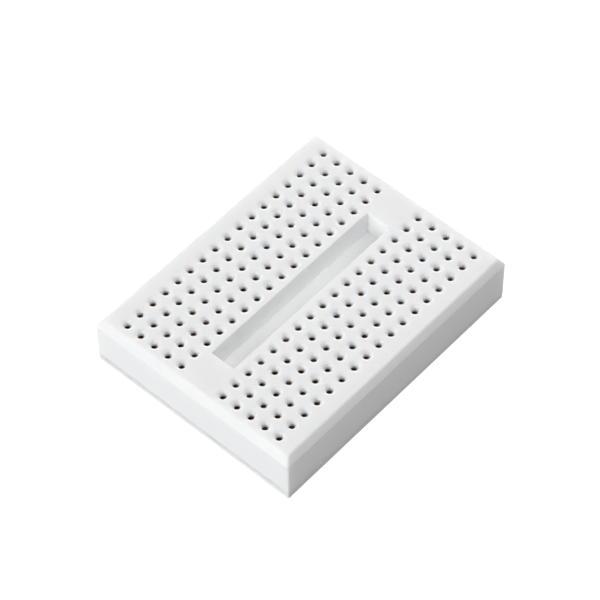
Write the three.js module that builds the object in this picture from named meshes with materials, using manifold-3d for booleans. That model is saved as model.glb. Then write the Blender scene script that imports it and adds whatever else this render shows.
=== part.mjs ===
// A solderless breadboard with two banks of 17 columns by 5 rows of tie points.
// Millimetres, +Z up. The origin is the centre of the underside, X runs along the length and Y across it.
//
// The board comes apart into a moulded housing, one spring contact clip for each column of each bank,
// the adhesive foam pad that closes the housing's underside, and the release liner on that pad.

import * as THREE from "three";
import { mergeVertices } from "three/addons/utils/BufferGeometryUtils.js";
import Module from "manifold-3d";

const wasm = await Module();
wasm.setup();

// ---- Driving dimensions ----

// Tie-point grid
const PITCH = 2.54;
const COLUMNS = 17;
const ROWS_PER_BANK = 5;
const BANK_SPACING = 3 * PITCH; // inner row to inner row, the width of a dual in-line chip

// Overall size, and the layers under the housing
const LENGTH = 45.6;
const WIDTH = 35.5;
const HEIGHT = 8.85;
const LINER_THICKNESS = 0.1;
const PAD_THICKNESS = 0.8;
const PAD_INSET = 0.05; // the pad and its liner are cut a little smaller than the housing

// The slanted shoulder round the top edge, above the parting line
const SHOULDER_HEIGHT = 1.35;
const SHOULDER_INSET_X = 0.87;
const SHOULDER_INSET_Y = 0.71;

// The blind trough between the banks
const TROUGH_LENGTH = 32.4;
const TROUGH_WIDTH = 4.1;
const TROUGH_DEPTH = 4.1;

// A tie point: a funnel that leads into a straight throat
const MOUTH_RADIUS = 0.9;
const THROAT_RADIUS = 0.45;
const FUNNEL_DEPTH = 0.5;
const HOLE_SIDES = 8;

// The chamber that holds one clip, open from below
const CHAMBER_WIDTH = 1.94;
const CHAMBER_LENGTH = 12.4;
const ROOF_THICKNESS = 1.05; // from the chamber's roof to the top face

// A contact clip: a folded strip with one pair of leaves under each tie point
const CLIP_THICKNESS = 0.2;
const CLIP_WIDTH = 1.7;
const CLIP_LENGTH = 12.1;
const CLIP_HEIGHT = 6.35;
const CLIP_LIFT = 0.3; // from the pad to the clip's floor
const WEB_HEIGHT = 1.1; // the clip's unslit lower part
const PINCH_HEIGHT = 5; // where the leaves come closest
const PINCH_GAP = 0.14;
const FLARE_GAP = 0.9; // between the leaves' tips
const SLIT_WIDTH = 0.5; // between one pair of leaves and the next

// ---- Derived sizes ----

const HOUSING_BASE = LINER_THICKNESS + PAD_THICKNESS;
const CHAMBER_ROOF = HEIGHT - ROOF_THICKNESS;
const BANK_CENTRE = BANK_SPACING / 2 + ((ROWS_PER_BANK - 1) * PITCH) / 2;
const CUT_MARGIN = 1; // how far a cutter reaches past the face that it opens

// ---- Materials ----

const whiteAbs = { color: 0xe6e7e7, roughness: 0.5, metalness: 0 };
const platedBronze = { color: 0xb59a6a, roughness: 0.35, metalness: 0.9 };
const foam = { color: 0xe9e9e4, roughness: 0.95, metalness: 0 };
const linerPaper = { color: 0xf3efe2, roughness: 0.6, metalness: 0 };

// ---- Helpers ----

// Turns a closed three.js geometry into a solid that can be joined and cut.
function toSolid(geometry) {
  const bare = geometry.index ? geometry.toNonIndexed() : geometry.clone();
  bare.deleteAttribute("normal");
  bare.deleteAttribute("uv");
  const merged = mergeVertices(bare, 1e-4);
  return new wasm.Manifold(
    new wasm.Mesh({
      numProp: 3,
      vertProperties: merged.getAttribute("position").array,
      triVerts: new Uint32Array(merged.index.array),
    }),
  );
}

// Turns a solid back into a flat-shaded geometry.
function toGeometry(solid) {
  const mesh = solid.getMesh();
  const indexed = new THREE.BufferGeometry();
  indexed.setAttribute("position", new THREE.BufferAttribute(mesh.vertProperties, 3));
  indexed.setIndex(new THREE.BufferAttribute(mesh.triVerts, 1));
  const geometry = indexed.toNonIndexed();
  geometry.computeVertexNormals();
  return geometry;
}

function box(length, width, height, x, y, baseZ) {
  return new THREE.BoxGeometry(length, width, height).translate(x, y, baseZ + height / 2);
}

function union(solids) {
  return solids.reduce((joined, solid) => joined.add(solid));
}

function namedMesh(name, geometry, material) {
  const mesh = new THREE.Mesh(geometry, new THREE.MeshStandardMaterial(material));
  mesh.name = name;
  return mesh;
}

const columnX = (column) => (column - (COLUMNS - 1) / 2) * PITCH;
const rowOffset = (row) => (row - (ROWS_PER_BANK - 1) / 2) * PITCH;
const steps = (count) => Array.from({ length: count }, (_, i) => i);
const banks = [
  { name: "front", centreY: -BANK_CENTRE },
  { name: "back", centreY: BANK_CENTRE },
];

// ---- Housing ----

// The block: upright sides up to the parting line, then a shoulder that leans in to the top face.
function blockGeometry() {
  const ring = (insetX, insetY, z) => {
    const x = LENGTH / 2 - insetX;
    const y = WIDTH / 2 - insetY;
    return [-x, -y, z, x, -y, z, x, y, z, -x, y, z];
  };
  const positions = [
    ...ring(0, 0, HOUSING_BASE),
    ...ring(0, 0, HEIGHT - SHOULDER_HEIGHT),
    ...ring(SHOULDER_INSET_X, SHOULDER_INSET_Y, HEIGHT),
  ];
  const indices = [0, 2, 1, 0, 3, 2, 8, 9, 10, 8, 10, 11];
  for (const lower of [0, 4]) {
    for (let corner = 0; corner < 4; corner++) {
      const next = (corner + 1) % 4;
      const [a, b, c, d] = [lower + corner, lower + next, lower + next + 4, lower + corner + 4];
      indices.push(a, b, c, a, c, d);
    }
  }
  const geometry = new THREE.BufferGeometry();
  geometry.setAttribute("position", new THREE.Float32BufferAttribute(positions, 3));
  geometry.setIndex(indices);
  return geometry;
}

// The hollow of one tie point, from inside the chamber up past the top face.
function tieHoleGeometry(x, y) {
  const profile = [
    [0, CHAMBER_ROOF - CUT_MARGIN],
    [THROAT_RADIUS, CHAMBER_ROOF - CUT_MARGIN],
    [THROAT_RADIUS, HEIGHT - FUNNEL_DEPTH],
    [MOUTH_RADIUS, HEIGHT],
    [MOUTH_RADIUS, HEIGHT + CUT_MARGIN],
    [0, HEIGHT + CUT_MARGIN],
  ].map(([radius, z]) => new THREE.Vector2(radius, z));
  return new THREE.LatheGeometry(profile, HOLE_SIDES)
    .rotateX(Math.PI / 2)
    .rotateZ(Math.PI / HOLE_SIDES)
    .translate(x, y, 0);
}

function chamberGeometry(x, y) {
  const height = CHAMBER_ROOF - HOUSING_BASE + CUT_MARGIN;
  return box(CHAMBER_WIDTH, CHAMBER_LENGTH, height, x, y, HOUSING_BASE - CUT_MARGIN);
}

function housingGeometry() {
  const troughHeight = TROUGH_DEPTH + CUT_MARGIN;
  const hollows = [box(TROUGH_LENGTH, TROUGH_WIDTH, troughHeight, 0, 0, HEIGHT - TROUGH_DEPTH)];
  for (const bank of banks) {
    for (const column of steps(COLUMNS)) {
      hollows.push(chamberGeometry(columnX(column), bank.centreY));
      for (const row of steps(ROWS_PER_BANK)) {
        hollows.push(tieHoleGeometry(columnX(column), bank.centreY + rowOffset(row)));
      }
    }
  }
  return toGeometry(toSolid(blockGeometry()).subtract(union(hollows.map(toSolid))));
}

// ---- Contact clips ----

// The strip's cross-section: a floor, two upright webs, then leaves that lean in to the pinch and flare
// out again at their tips to guide a lead between them.
function clipSection() {
  const outer = CLIP_WIDTH / 2;
  const inner = outer - CLIP_THICKNESS;
  const pinch = PINCH_GAP / 2;
  const flare = FLARE_GAP / 2;
  const half = [
    [outer, 0],
    [outer, WEB_HEIGHT],
    [pinch + CLIP_THICKNESS, PINCH_HEIGHT],
    [flare + CLIP_THICKNESS, CLIP_HEIGHT],
    [flare, CLIP_HEIGHT],
    [pinch, PINCH_HEIGHT],
    [inner, WEB_HEIGHT],
    [inner, CLIP_THICKNESS],
  ];
  const mirrored = half.map(([x, z]) => [-x, z]).reverse();
  return new THREE.Shape([...half, ...mirrored].map(([x, z]) => new THREE.Vector2(x, z)));
}

// One clip about its own origin, at the middle of its floor.
function clipGeometry() {
  const strip = new THREE.ExtrudeGeometry(clipSection(), { depth: CLIP_LENGTH, bevelEnabled: false })
    .rotateX(Math.PI / 2)
    .translate(0, CLIP_LENGTH / 2, 0);
  const slits = steps(ROWS_PER_BANK - 1).map((gap) =>
    box(CLIP_WIDTH + CUT_MARGIN, SLIT_WIDTH, CLIP_HEIGHT, 0, rowOffset(gap + 0.5), WEB_HEIGHT),
  );
  return toGeometry(toSolid(strip).subtract(union(slits.map(toSolid))));
}

// ---- Assembly ----

function padLayer(name, thickness, baseZ, material) {
  const length = LENGTH - 2 * PAD_INSET;
  const width = WIDTH - 2 * PAD_INSET;
  return namedMesh(name, box(length, width, thickness, 0, 0, baseZ), material);
}

const breadboard = new THREE.Group();
breadboard.add(namedMesh("housing", housingGeometry(), whiteAbs));

const clip = clipGeometry();
for (const bank of banks) {
  for (const column of steps(COLUMNS)) {
    const number = String(column + 1).padStart(2, "0");
    const mesh = namedMesh(`contact_clip_${bank.name}_${number}`, clip, platedBronze);
    mesh.position.set(columnX(column), bank.centreY, HOUSING_BASE + CLIP_LIFT);
    breadboard.add(mesh);
  }
}

breadboard.add(padLayer("foam_pad", PAD_THICKNESS, LINER_THICKNESS, foam));
breadboard.add(padLayer("release_liner", LINER_THICKNESS, 0, linerPaper));

export default breadboard;
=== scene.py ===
"""Looks of a solderless breadboard: a moulded housing, spring contact clips, a foam pad and its liner."""

import math

import bmesh
import bpy
from mathutils import Matrix, Vector, noise
from mathutils.geometry import delaunay_2d_cdt


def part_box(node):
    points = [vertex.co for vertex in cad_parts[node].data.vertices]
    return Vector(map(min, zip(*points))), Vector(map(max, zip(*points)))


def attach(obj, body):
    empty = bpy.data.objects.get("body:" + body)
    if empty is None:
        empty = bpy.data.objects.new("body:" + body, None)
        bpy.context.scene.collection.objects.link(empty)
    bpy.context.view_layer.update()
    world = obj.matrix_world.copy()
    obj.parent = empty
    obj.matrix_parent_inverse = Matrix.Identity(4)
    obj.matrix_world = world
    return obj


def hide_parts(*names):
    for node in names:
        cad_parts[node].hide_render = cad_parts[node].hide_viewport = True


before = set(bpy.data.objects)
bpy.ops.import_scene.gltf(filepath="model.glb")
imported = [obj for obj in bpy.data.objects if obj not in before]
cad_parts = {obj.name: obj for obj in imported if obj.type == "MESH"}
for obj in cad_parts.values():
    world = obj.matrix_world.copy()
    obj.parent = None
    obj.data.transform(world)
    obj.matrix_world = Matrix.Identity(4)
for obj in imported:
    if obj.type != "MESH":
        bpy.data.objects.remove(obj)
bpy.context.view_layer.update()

# ---- Sizes, in millimetres ----

MM = 0.001  # Blender works in metres
SUPPORT = 0.03  # width of the flat strip beside each rounded edge, which keeps flat faces shaded flat
SHORTEST_EDGE = 0.001  # edges under this are closed up
TOLERANCE = 0.001  # for telling which CAD points lie on a face
EDGE_STEPS = 4  # faces round a small rounded edge or bend

# The grid of tie points
ROWS_PER_BANK = 5
COLUMNS = 17
BANKS = ("front", "back")

# The housing's outside
CORNER_RADIUS = 0.3
CORNER_STEPS = 6
BASE_EDGE_RADIUS = 0.02
BASE_EDGE_STEPS = 3
SEAM_DEPTH = 0.03  # the fine groove at the parting line
SEAM_WIDTH = 0.14
DECK_EDGE_RADIUS = 0.4
DECK_EDGE_REACH = 0.3  # how far the deck's rounded edge reaches in past the shoulder's nominal inset
DECK_EDGE_STEPS = 7
STEEPEST_TILT = math.pi / 3  # where the search for the shoulder's tilt starts
BISECTIONS = 40
SHOULDER_SUPPORTS = (0.06, 0.94)  # shares of the way up the shoulder where it has support rings

# A tie point: a trumpet-shaped funnel that leads into a short straight throat
MOUTH_RADIUS = 1.15
THROAT_RADIUS = 0.45
FUNNEL_DEPTH = 0.7
ROOF_THICKNESS = 1.05  # from the deck to the chambers
HOLE_SEGMENTS = 32
FUNNEL_STEPS = 9

# The trough
TROUGH_CORNER_RADIUS = 0.15
TROUGH_LIP_RADIUS = 0.1
TROUGH_FLOOR_RADIUS = 0.1
TROUGH_DRAFT = 0.05  # how much narrower the floor is than the mouth, on each side
SMALLEST_CORNER = 0.05

# The chamber round each clip
CHAMBER_CLEARANCE_X = 0.12
CHAMBER_CLEARANCE_Y = 0.15
CHAMBER_CORNER_RADIUS = 0.2
CHAMBER_CORNER_STEPS = 3

# A contact clip
STRIP_THICKNESS = 0.2
WEB_HEIGHT = 1.1  # the unslit lower part
LEAF_FOOT_RISE = 0.2  # from the web's top to where the leaves start to lean in
PINCH_HEIGHT = 5.0
PINCH_GAP = 0.14
FLARE_GAP = 0.9
SLIT_WIDTH = 0.5
BEND_RADIUS = 0.35
LARGEST_BEND = 0.45  # the most that a bend takes up of the shorter side next to it
TIP_RADIUS = 0.35
STRIP_EDGE = 0.03  # the softened edge that punching leaves round the strip
STRIP_SPACING = 0.6  # between points along the strip's straight stretches
STRIP_COLUMNS = 4  # faces across one leaf

# The foam pad and the release liner
PAD_CORNER_RADIUS = 0.25
PAD_SPACING = 0.3  # between points along the pad's edge
PAD_WAIST = 0.01  # how far the cut edge draws in at mid-height
PAD_STEPS = 8  # rings of faces up the pad's edge
CELL_DEPTH = 0.015  # how deep the cut cells show at the edge
CELL_FREQUENCY = 3.1  # cells per millimetre along the edge
LINER_CORNER_RADIUS = 0.3
LINER_EDGE = 0.02

# The camera
CAMERA_TARGET = (0.881, 1.201, 4.4)
CAMERA_AZIMUTH = -47.822  # degrees
CAMERA_ELEVATION = 53.237
CAMERA_ROLL = -0.637
CAMERA_DISTANCE = 421.6
SENSOR_WIDTH = 36
FOCAL_LENGTH = 181.19

# ---- Stage, in metres and watts ----

FLOOR_REACH = 4  # from the middle to each edge
FLOOR_GREY = 0.3
FLOOR_GLOW = 0.95
CARD_DEPTH = 0.0002  # how far under the floor the bounce card lies
CARD_GREY = 0.45
CARD_GLOW = 0.14
LIGHT_DISTANCE = 0.8
LIGHT_SPREAD = 0.625  # a light's diameter as a share of its distance
WHITE = (1, 1, 1)


def node_box(node):
    """A CAD node's lowest and highest corner, in millimetres."""
    low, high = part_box(node)
    return low / MM, high / MM


def clip_name(bank, column):
    return f"contact_clip_{bank}_{column + 1:02d}"


def clip_centre(bank, column):
    low, high = node_box(clip_name(bank, column))
    return (low + high) / 2


housing_low, housing_high = node_box("housing")
clip_low, clip_high = node_box(clip_name("front", 0))
clip_size = clip_high - clip_low
PITCH = clip_centre("front", 1).x - clip_centre("front", 0).x
DECK_HEIGHT = housing_high.z

housing_points = [vertex.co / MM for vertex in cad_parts["housing"].data.vertices]
deck_points = [p for p in housing_points if abs(p.z - DECK_HEIGHT) < TOLERANCE]
DECK_HALF_X = max(p.x for p in deck_points)
DECK_HALF_Y = max(p.y for p in deck_points)
SEAM_HEIGHT = max(p.z for p in housing_points if abs(p.x - housing_high.x) < TOLERANCE)
trough_points = [p for p in housing_points if abs(p.y) < PITCH]
TROUGH_HALF_X = max(p.x for p in trough_points)
TROUGH_HALF_Y = max(p.y for p in trough_points)
TROUGH_FLOOR = min(p.z for p in trough_points)


def row_offset(row):
    return (row - (ROWS_PER_BANK - 1) / 2) * PITCH


def quarter_turn(steps):
    """Angles from 0 to 90 degrees."""
    return [math.pi / 2 * step / steps for step in range(steps + 1)]


# ---- Mesh helpers ----


class Shell:
    """One closed surface, put together from rings of points in millimetres."""

    def __init__(self):
        self.points = []
        self.faces = []

    def ring(self, points):
        first = len(self.points)
        self.points.extend(points)
        return range(first, len(self.points))

    def band(self, lower, upper):
        """Joins two rings of equal length with four-sided faces."""
        count = len(lower)
        for i in range(count):
            j = (i + 1) % count
            self.faces.append((lower[i], lower[j], upper[j], upper[i]))

    def loft(self, point_rings):
        """Joins a stack of rings, and returns the first and the last."""
        rings = [self.ring(points) for points in point_rings]
        for lower, upper in zip(rings, rings[1:]):
            self.band(lower, upper)
        return rings[0], rings[-1]

    def cap(self, outline, holes=()):
        """Fills a level face between a convex outline and the convex holes in it."""
        if not holes:
            self.faces.append(tuple(outline))
            return
        loops = [outline, *holes]
        members = [index for loop in loops for index in loop]
        owner = {index: number for number, loop in enumerate(loops) for index in loop}
        edges = []
        first = 0
        for loop in loops:
            count = len(loop)
            edges += [(first + i, first + (i + 1) % count) for i in range(count)]
            first += count
        flat = [self.points[index].xy for index in members]
        _, _, triangles, sources, _, _ = delaunay_2d_cdt(flat, edges, [], 0, 1e-7)
        for triangle in triangles:
            corners = [members[sources[corner][0]] for corner in triangle]
            touched = {owner[corner] for corner in corners}
            if len(touched) > 1 or touched == {0}:
                self.faces.append(corners)

    def to_object(self, name, sharp_degrees=35):
        mesh = bpy.data.meshes.new(name)
        mesh.from_pydata([point * MM for point in self.points], [], self.faces)
        return finish_mesh(name, mesh, sharp_degrees)


def finish_mesh(name, mesh, sharp_degrees):
    """Turns the faces outwards, shades them smooth between sharp edges, and puts the object in the scene."""
    work = bmesh.new()
    work.from_mesh(mesh)
    bmesh.ops.dissolve_degenerate(work, dist=SHORTEST_EDGE * MM, edges=work.edges)
    bmesh.ops.recalc_face_normals(work, faces=work.faces)
    work.to_mesh(mesh)
    work.free()
    mesh.shade_smooth()
    mesh.set_sharp_from_angle(angle=math.radians(sharp_degrees))
    piece = bpy.data.objects.new(name, mesh)
    bpy.context.scene.collection.objects.link(piece)
    return piece


def rounded_rectangle(half_x, half_y, radius, z, centre=(0, 0), corner_steps=CORNER_STEPS):
    """Points of a rounded rectangle, with a support point on each straight side next to each corner."""
    points = []
    for corner, (sign_x, sign_y) in enumerate(((1, 1), (-1, 1), (-1, -1), (1, -1))):
        start = corner * math.pi / 2
        pivot = Vector((centre[0] + sign_x * (half_x - radius), centre[1] + sign_y * (half_y - radius), z))
        arc = [
            pivot + radius * Vector((math.cos(start + turn), math.sin(start + turn), 0))
            for turn in quarter_turn(corner_steps)
        ]
        along_side = SUPPORT * Vector((math.sin(start), -math.cos(start), 0))
        next_side = SUPPORT * Vector((-math.cos(start), -math.sin(start), 0))
        points += [arc[0] + along_side, *arc, arc[-1] + next_side]
    return points


def circle(centre, radius, z):
    return [
        Vector((centre[0] + radius * math.cos(turn), centre[1] + radius * math.sin(turn), z))
        for turn in (2 * math.pi * step / HOLE_SEGMENTS for step in range(HOLE_SEGMENTS))
    ]


# ---- Housing ----


def outer_ring(inset_x, inset_y, z):
    """A ring of the outer wall, set in from the housing's widest outline."""
    return rounded_rectangle(housing_high.x - inset_x, housing_high.y - inset_y, CORNER_RADIUS, z)


def outer_wall_rings():
    """From the underside, up the walls, over the parting line and the slanted shoulder, to the deck."""
    base = housing_low.z
    straight = []
    straight.append((BASE_EDGE_RADIUS + SUPPORT, base))
    for turn in quarter_turn(BASE_EDGE_STEPS):
        inset = BASE_EDGE_RADIUS * (1 - math.sin(turn))
        straight.append((inset, base + BASE_EDGE_RADIUS * (1 - math.cos(turn))))
    straight.append((0, base + BASE_EDGE_RADIUS + SUPPORT))
    for widths_up, depth in ((-1, 0), (-0.5, 0), (0, SEAM_DEPTH), (0.5, 0)):
        straight.append((depth, SEAM_HEIGHT + widths_up * SEAM_WIDTH))

    rings = [outer_ring(inset, inset, z) for inset, z in straight]
    reach_x = housing_high.x - DECK_HALF_X + DECK_EDGE_REACH
    reach_y = housing_high.y - DECK_HALF_Y + DECK_EDGE_REACH
    foot = SEAM_HEIGHT + 0.5 * SEAM_WIDTH
    tilt_x = shoulder_tilt(reach_x, DECK_HEIGHT - foot)
    tilt_y = shoulder_tilt(reach_y, DECK_HEIGHT - foot)
    for step in range(DECK_EDGE_STEPS + 1):
        share = step / DECK_EDGE_STEPS
        inset_x, z = deck_edge_point(reach_x, tilt_x + (math.pi / 2 - tilt_x) * share)
        inset_y, _ = deck_edge_point(reach_y, tilt_y + (math.pi / 2 - tilt_y) * share)
        if step == 0:
            for part in SHOULDER_SUPPORTS:
                rings.append(outer_ring(inset_x * part, inset_y * part, foot + (z - foot) * part))
        rings.append(outer_ring(inset_x, inset_y, z))
    rings.append(outer_ring(reach_x + SUPPORT, reach_y + SUPPORT, DECK_HEIGHT))
    return rings


def deck_edge_point(reach, rise):
    """Inset and height on the deck's rounded edge, where the surface's normal rises by this angle."""
    radius = DECK_EDGE_RADIUS
    return reach - radius * math.cos(rise), DECK_HEIGHT - radius * (1 - math.sin(rise))


def shoulder_tilt(reach, height):
    """The shoulder's lean from the vertical that makes it run into the deck's rounded edge without a bend."""
    low, high = 0.0, STEEPEST_TILT
    for _ in range(BISECTIONS):
        lean = (low + high) / 2
        inset, z = deck_edge_point(reach, lean)
        rise = height - (DECK_HEIGHT - z)
        if rise * math.tan(lean) < inset:
            low = lean
        else:
            high = lean
    return lean


def trough_rings():
    """From the deck, over the lip, down the slightly tapered walls and round into the floor."""
    profile = [(TROUGH_LIP_RADIUS + SUPPORT, DECK_HEIGHT)]
    for turn in reversed(quarter_turn(EDGE_STEPS)):
        drop = TROUGH_LIP_RADIUS * (1 - math.sin(turn))
        profile.append((TROUGH_LIP_RADIUS * (1 - math.cos(turn)), DECK_HEIGHT - drop))
    profile.append((0, DECK_HEIGHT - TROUGH_LIP_RADIUS - SUPPORT))
    profile.append((-TROUGH_DRAFT, TROUGH_FLOOR + TROUGH_FLOOR_RADIUS + SUPPORT))
    for turn in quarter_turn(EDGE_STEPS):
        inset = TROUGH_DRAFT + TROUGH_FLOOR_RADIUS * (1 - math.cos(turn))
        profile.append((-inset, TROUGH_FLOOR + TROUGH_FLOOR_RADIUS * (1 - math.sin(turn))))
    profile.append((-TROUGH_DRAFT - TROUGH_FLOOR_RADIUS - SUPPORT, TROUGH_FLOOR))
    return [
        rounded_rectangle(
            TROUGH_HALF_X + outset,
            TROUGH_HALF_Y + outset,
            max(TROUGH_CORNER_RADIUS + outset, SMALLEST_CORNER),
            z,
        )
        for outset, z in profile
    ]


def tie_hole_rings(centre, roof):
    """From the deck down the funnel and the throat to the chamber's roof."""
    span = MOUTH_RADIUS - THROAT_RADIUS
    rings = [circle(centre, MOUTH_RADIUS + SUPPORT, DECK_HEIGHT)]
    for turn in quarter_turn(FUNNEL_STEPS):
        radius = MOUTH_RADIUS - span * math.sin(turn)
        rings.append(circle(centre, radius, DECK_HEIGHT - FUNNEL_DEPTH * (1 - math.cos(turn))))
    rings.append(circle(centre, THROAT_RADIUS, DECK_HEIGHT - FUNNEL_DEPTH - SUPPORT))
    rings.append(circle(centre, THROAT_RADIUS, roof))
    return rings


def chamber_rings(centre, roof):
    """From the roof down the walls to the rounded edge of the opening in the underside."""
    half_x = clip_size.x / 2 + CHAMBER_CLEARANCE_X
    half_y = clip_size.y / 2 + CHAMBER_CLEARANCE_Y
    base = housing_low.z
    profile = [(0, roof), (0, base + 2 * BASE_EDGE_RADIUS), (BASE_EDGE_RADIUS / 2, base)]
    return [
        rounded_rectangle(
            half_x + outset, half_y + outset, CHAMBER_CORNER_RADIUS, z, centre, CHAMBER_CORNER_STEPS
        )
        for outset, z in profile
    ]


def build_housing():
    shell = Shell()
    roof = DECK_HEIGHT - ROOF_THICKNESS
    underside, deck = shell.loft(outer_wall_rings())
    trough_mouth, trough_floor = shell.loft(trough_rings())
    shell.cap(trough_floor)
    deck_holes = [trough_mouth]
    underside_holes = []
    for bank in BANKS:
        for column in range(COLUMNS):
            centre = clip_centre(bank, column).xy
            throats = []
            for row in range(ROWS_PER_BANK):
                mouth, throat = shell.loft(tie_hole_rings(centre + Vector((0, row_offset(row))), roof))
                deck_holes.append(mouth)
                throats.append(throat)
            ceiling, opening = shell.loft(chamber_rings(centre, roof))
            shell.cap(ceiling, throats)
            underside_holes.append(opening)
    shell.cap(deck, deck_holes)
    shell.cap(underside, underside_holes)
    return shell.to_object("moulded_housing")


# ---- Contact clips ----


def rounded_path(corners, radius, steps):
    """A path through corner points, with each inner corner turned into an arc."""
    path = [corners[0]]
    for before, corner, after in zip(corners, corners[1:], corners[2:]):
        towards_before = (before - corner).normalized()
        towards_after = (after - corner).normalized()
        half_angle = towards_before.angle(towards_after) / 2
        shorter_side = min((before - corner).length, (after - corner).length)
        tangent = min(radius / math.tan(half_angle), LARGEST_BEND * shorter_side)
        centre = corner + (towards_before + towards_after).normalized() * (tangent / math.cos(half_angle))
        start = corner + towards_before * tangent - centre
        end = corner + towards_after * tangent - centre
        for step in range(steps + 1):
            spoke = start.lerp(end, step / steps)
            path.append(centre + spoke.normalized() * start.length)
    path.append(corners[-1])
    return path


def clip_half_path():
    """Middle line of the strip from the centre of its floor to a leaf's tip, as (across, up)."""
    half = STRIP_THICKNESS / 2
    web = clip_size.x / 2 - half
    corners = [
        Vector((0, half)),
        Vector((web, half)),
        Vector((web, WEB_HEIGHT + LEAF_FOOT_RISE)),
        Vector((PINCH_GAP / 2 + half, PINCH_HEIGHT)),
        Vector((FLARE_GAP / 2 + half, clip_size.z - half)),
    ]
    return rounded_path(corners, BEND_RADIUS, EDGE_STEPS)


def resample(path, spacing):
    """Adds points along the longer straight stretches of a path."""
    points = [path[0]]
    for start, end in zip(path, path[1:]):
        pieces = max(1, round((end - start).length / spacing))
        points += [start.lerp(end, piece / pieces) for piece in range(1, pieces + 1)]
    return points


def leaf_half_width(distance_to_tip, height, outermost):
    """Half the width of a leaf: rounded at its tip, and at the bottom of the slit beside it."""
    slit = SLIT_WIDTH / 2
    free_edge = clip_size.y / 2 - row_offset(ROWS_PER_BANK - 1)
    width = free_edge if outermost else PITCH / 2 - slit
    if distance_to_tip < TIP_RADIUS:
        cut = TIP_RADIUS - distance_to_tip
        return width - TIP_RADIUS + math.sqrt(TIP_RADIUS**2 - cut**2)
    if outermost:
        return width
    above_slit_bottom = height - WEB_HEIGHT
    if above_slit_bottom <= 0:
        return PITCH / 2
    if above_slit_bottom < slit:
        return PITCH / 2 - math.sqrt(slit**2 - (slit - above_slit_bottom) ** 2)
    return width


def clip_path_rows():
    """The whole strip from one leaf's tip to the other, as (across, up, distance to the nearer tip)."""
    half = resample(clip_half_path(), STRIP_SPACING)
    tip = half[-1]
    direction = (tip - half[-2]).normalized()
    cut = tip - direction * TIP_RADIUS
    half = [point for point in half if (point - tip).length > TIP_RADIUS] + [cut]
    for turn in quarter_turn(EDGE_STEPS)[1:]:
        half.append(cut + direction * TIP_RADIUS * math.sin(turn))
    lengths = [0.0]
    for start, end in zip(half, half[1:]):
        lengths.append(lengths[-1] + (end - start).length)
    right = [(point.x, point.y, lengths[-1] - length) for point, length in zip(half, lengths)]
    left = [(-across, up, distance) for across, up, distance in reversed(right[1:])]
    return left + right


def build_clip_mesh():
    """One clip about the middle of its floor: a folded sheet with slits, thickened, with soft edges."""
    rows = clip_path_rows()
    sheet = bmesh.new()
    for leaf in range(ROWS_PER_BANK):
        grid = []
        for across, up, distance in rows:
            line = []
            for column in range(STRIP_COLUMNS + 1):
                share = 2 * column / STRIP_COLUMNS - 1
                outward = (leaf == 0 and share < 0) or (leaf == ROWS_PER_BANK - 1 and share > 0)
                along = row_offset(leaf) + share * leaf_half_width(distance, up, outward)
                line.append(sheet.verts.new(Vector((across, along, up)) * MM))
            grid.append(line)
        for lower, upper in zip(grid, grid[1:]):
            for column in range(STRIP_COLUMNS):
                sheet.faces.new((lower[column], lower[column + 1], upper[column + 1], upper[column]))
    bmesh.ops.remove_doubles(sheet, verts=sheet.verts, dist=1e-7)
    bmesh.ops.recalc_face_normals(sheet, faces=sheet.faces)
    mesh = bpy.data.meshes.new("contact_strip")
    sheet.to_mesh(mesh)
    sheet.free()

    holder = bpy.data.objects.new("contact_strip", mesh)
    bpy.context.scene.collection.objects.link(holder)
    thicken = holder.modifiers.new("thicken", "SOLIDIFY")
    thicken.thickness = STRIP_THICKNESS * MM
    thicken.offset = 0
    thicken.use_even_offset = True
    soften = holder.modifiers.new("soften", "BEVEL")
    soften.width = STRIP_EDGE * MM
    soften.segments = 1
    soften.angle_limit = math.radians(60)
    evaluated = holder.evaluated_get(bpy.context.evaluated_depsgraph_get())
    result = bpy.data.meshes.new_from_object(evaluated)
    bpy.data.objects.remove(holder)
    return result


def build_clips():
    master = build_clip_mesh()
    clips = []
    for bank in BANKS:
        for column in range(COLUMNS):
            node = clip_name(bank, column)
            low, high = node_box(node)
            foot = Vector(((low.x + high.x) / 2, (low.y + high.y) / 2, low.z))
            mesh = master.copy()
            mesh.transform(Matrix.Translation(foot * MM))
            clip = finish_mesh(f"spring_clip_{bank}_{column + 1:02d}", mesh, 40)
            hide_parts(node)
            clips.append(clip)
    bpy.data.meshes.remove(master)
    return clips


# ---- Foam pad and release liner ----


def evenly_spaced(loop, spacing):
    """Adds points to the straight stretches of a closed loop."""
    points = []
    for start, end in zip(loop, loop[1:] + loop[:1]):
        pieces = max(1, round((end - start).length / spacing))
        points += [start.lerp(end, piece / pieces) for piece in range(pieces)]
    return points


def build_pad():
    """A slab of closed-cell foam whose cut edge is pitted by its cells and drawn in at mid-height."""
    low, high = node_box("foam_pad")
    shell = Shell()
    rings = []
    for step in range(PAD_STEPS + 1):
        share = step / PAD_STEPS
        z = low.z + (high.z - low.z) * share
        ring = evenly_spaced(rounded_rectangle(high.x, high.y, PAD_CORNER_RADIUS, z), PAD_SPACING)
        if 0 < step < PAD_STEPS:
            waist = PAD_WAIST * math.sin(math.pi * share)
            for point in ring:
                shrink = waist + CELL_DEPTH * (0.5 + 0.5 * noise.noise(point * CELL_FREQUENCY))
                point.x *= 1 - shrink / high.x
                point.y *= 1 - shrink / high.y
        rings.append(ring)
    bottom, top = shell.loft(rings)
    shell.cap(bottom)
    shell.cap(top)
    return shell.to_object("foam_tape_pad")


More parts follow.
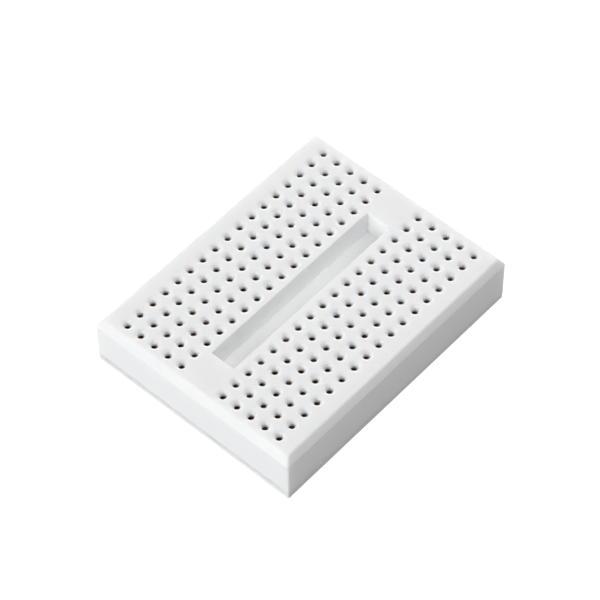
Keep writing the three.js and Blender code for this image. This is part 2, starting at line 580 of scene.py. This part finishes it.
def build_liner():
    low, high = node_box("release_liner")
    shell = Shell()
    profile = [(LINER_EDGE, low.z), (0, low.z + LINER_EDGE), (0, high.z - LINER_EDGE), (LINER_EDGE, high.z)]
    bottom, top = shell.loft(
        [rounded_rectangle(high.x - inset, high.y - inset, LINER_CORNER_RADIUS, z) for inset, z in profile]
    )
    shell.cap(bottom)
    shell.cap(top)
    return shell.to_object("release_liner_sheet")


# ---- Materials ----


class Nodes:
    """A material's node tree, with short calls to add to it."""

    def __init__(self, name):
        self.material = bpy.data.materials.new(name)
        self.material.use_nodes = True
        self.tree = self.material.node_tree
        self.shader = self.tree.nodes["Principled BSDF"]

    def link(self, source, output, target, socket):
        self.tree.links.new(source.outputs[output], target.inputs[socket])

    def set(self, **values):
        for key, value in values.items():
            self.shader.inputs[key.replace("_", " ")].default_value = value

    def texture(self, kind, **values):
        """A texture over the object's own coordinates; its scale is in cells per metre."""
        position = self.tree.nodes.new("ShaderNodeTexCoord")
        texture = self.tree.nodes.new(kind)
        for key, value in values.items():
            texture.inputs[key].default_value = value
        self.link(position, "Object", texture, "Vector")
        return texture

    def noise(self, scale, detail=3.0, roughness=0.5):
        return self.texture("ShaderNodeTexNoise", Scale=scale, Detail=detail, Roughness=roughness)

    def ramp(self, source, output, low, high, socket):
        """Runs a texture through a ramp between two (place, colour or grey) stops and into the shader."""
        ramp = self.tree.nodes.new("ShaderNodeValToRGB")
        for element, (place, colour) in zip(ramp.color_ramp.elements, (low, high)):
            element.position = place
            element.color = (*colour, 1) if isinstance(colour, tuple) else (colour, colour, colour, 1)
        self.link(source, output, ramp, "Fac")
        self.link(ramp, "Color", self.shader, socket)

    def bump(self, source, output, distance, strength):
        bump = self.tree.nodes.new("ShaderNodeBump")
        bump.inputs["Distance"].default_value = distance
        bump.inputs["Strength"].default_value = strength
        self.link(source, output, bump, "Height")
        self.link(bump, "Normal", self.shader, "Normal")


def housing_material():
    """White ABS: bright right through, so that light soaks into its edges, with a satin finish."""
    nodes = Nodes("white_abs")
    flow = nodes.noise(120, 2.0)
    nodes.ramp(flow, "Fac", (0.3, (0.966, 0.974, 0.970)), (0.7, (0.976, 0.982, 0.979)), "Base Color")
    grain = nodes.noise(9000, 3.0)
    nodes.ramp(grain, "Fac", (0.3, 0.42), (0.7, 0.52), "Roughness")
    nodes.bump(grain, "Fac", 0.000004, 0.4)
    nodes.set(IOR=1.5, Subsurface_Weight=1.0, Subsurface_Radius=(1.0, 0.95, 0.9), Subsurface_Scale=1.0 * MM)
    return nodes.material


def clip_material():
    """Bronze strip with a thin dull plating, streaked and scuffed."""
    nodes = Nodes("plated_bronze")
    streaks = nodes.noise(700, 4.0, 0.6)
    nodes.ramp(streaks, "Fac", (0.3, (0.30, 0.20, 0.10)), (0.7, (0.46, 0.34, 0.20)), "Base Color")
    scuffs = nodes.noise(4000, 3.0)
    nodes.ramp(scuffs, "Fac", (0.3, 0.25), (0.7, 0.42), "Roughness")
    nodes.bump(scuffs, "Fac", 0.000005, 0.4)
    nodes.set(Metallic=1.0)
    return nodes.material


def foam_material():
    """White closed-cell foam, with painted shade in its cell pits."""
    nodes = Nodes("white_foam")
    cells = nodes.texture("ShaderNodeTexVoronoi", Scale=6000)
    # painted shade: the colour darkens towards each cell's middle, where the bump below sinks into a pit
    nodes.ramp(cells, "Distance", (0.1, (0.87, 0.88, 0.87)), (0.6, (0.92, 0.93, 0.92)), "Base Color")
    nodes.bump(cells, "Distance", 0.00002, 0.5)
    nodes.set(Roughness=0.9)
    return nodes.material


def liner_material():
    """Silicone-coated paper with faint fibres."""
    nodes = Nodes("waxed_paper")
    fibres = nodes.noise(900, 5.0, 0.65)
    nodes.ramp(fibres, "Fac", (0.3, (0.83, 0.82, 0.77)), (0.7, (0.90, 0.89, 0.85)), "Base Color")
    nodes.ramp(fibres, "Fac", (0.3, 0.45), (0.7, 0.62), "Roughness")
    nodes.bump(fibres, "Fac", 0.00001, 0.5)
    return nodes.material


def stage_material(name, grey, glow):
    """A matt grey that also glows white."""
    nodes = Nodes(name)
    nodes.set(Base_Color=(grey, grey, grey, 1), Roughness=1.0, Specular_IOR_Level=0.0)
    nodes.set(Emission_Color=(*WHITE, 1), Emission_Strength=glow)
    return nodes.material


# ---- Camera, floor and lights ----


def direction(azimuth, elevation):
    """A unit vector: azimuth 0 points to -Y and -90 to -X, elevation is above the horizon, in degrees."""
    turn, rise = math.radians(azimuth), math.radians(elevation)
    return Vector((math.sin(turn) * math.cos(rise), -math.cos(turn) * math.cos(rise), math.sin(rise)))


def add_camera():
    camera = bpy.data.objects.new("camera", bpy.data.cameras.new("camera"))
    bpy.context.scene.collection.objects.link(camera)
    back = direction(CAMERA_AZIMUTH, CAMERA_ELEVATION)
    camera.location = (Vector(CAMERA_TARGET) + back * CAMERA_DISTANCE) * MM
    upright = back.to_track_quat("Z", "Y").to_matrix()
    roll = Matrix.Rotation(math.radians(CAMERA_ROLL), 3, "Z")
    camera.rotation_euler = (upright @ roll).to_euler()
    camera.data.sensor_width = SENSOR_WIDTH
    camera.data.lens = FOCAL_LENGTH
    camera.data.clip_start = 0.01
    camera.data.clip_end = 20
    bpy.context.scene.camera = camera


def add_stage_sheet(name, height, material):
    sides = ((-1, -1), (1, -1), (1, 1), (-1, 1))
    corners = [Vector((x * FLOOR_REACH, y * FLOOR_REACH, height)) for x, y in sides]
    mesh = bpy.data.meshes.new(name)
    mesh.from_pydata(corners, [], [(0, 1, 2, 3)])
    sheet = bpy.data.objects.new(name, mesh)
    bpy.context.scene.collection.objects.link(sheet)
    sheet.data.materials.append(material)
    return sheet


def add_floor():
    """A white floor that lights nothing, and a pale card just under it that bounces light upwards."""
    floor = add_stage_sheet("floor", 0, stage_material("white_floor", FLOOR_GREY, FLOOR_GLOW))
    floor.visible_diffuse = False
    floor.visible_glossy = False
    floor.visible_shadow = False
    card = add_stage_sheet("bounce_card", -CARD_DEPTH, stage_material("pale_card", CARD_GREY, CARD_GLOW))
    card.visible_camera = False


def add_softbox(name, azimuth, elevation, distance, power, colour=WHITE):
    light = bpy.data.lights.new(name, "AREA")
    light.shape = "DISK"
    light.size = distance * LIGHT_SPREAD
    light.energy = power
    light.color = colour
    lamp = bpy.data.objects.new(name, light)
    bpy.context.scene.collection.objects.link(lamp)
    away = direction(azimuth, elevation)
    lamp.location = away * distance
    lamp.rotation_euler = away.to_track_quat("Z", "Y").to_euler()
    lamp.visible_camera = False


def add_world():
    """White all round for the camera, and no light on the object."""
    world = bpy.data.worlds.new("studio")
    bpy.context.scene.world = world
    world.use_nodes = True
    background = world.node_tree.nodes["Background"]
    background.inputs["Color"].default_value = (*WHITE, 1)
    background.inputs["Strength"].default_value = 1.0
    world.cycles_visibility.diffuse = False
    world.cycles_visibility.glossy = False


add_camera()
add_floor()
add_world()
add_softbox("right_back_low", 135, 15, LIGHT_DISTANCE, 2.4)
add_softbox("back", 180, 35, LIGHT_DISTANCE, 1.3)
add_softbox("left_back", 225, 35, LIGHT_DISTANCE, 1.1)
add_softbox("left_low", 270, 15, LIGHT_DISTANCE, 3.8, (0.98, 1.0, 1.02))
add_softbox("near_left_high", 315, 60, LIGHT_DISTANCE, 1.0)
add_softbox("near_right_high", 45, 60, LIGHT_DISTANCE, 1.4)
add_softbox("near_right_low", 65, 15, 0.3, 0.07)
add_softbox("right", 90, 35, LIGHT_DISTANCE, 1.9)
bpy.context.scene.view_settings.view_transform = "Standard"

# ---- Assembly ----

housing = build_housing()
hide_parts("housing")
pad = build_pad()
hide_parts("foam_pad")
liner = build_liner()
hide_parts("release_liner")
clips = build_clips()

finishes = (
    ([housing], housing_material(), "housing_plastic"),
    (clips, clip_material(), "contact_metal"),
    ([pad], foam_material(), "pad_foam"),
    ([liner], liner_material(), "liner_paper"),
)
for pieces, material, slot in finishes:
    for piece in pieces:
        piece.data.materials.clear()
        piece.data.materials.append(material)
        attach(piece, "root")
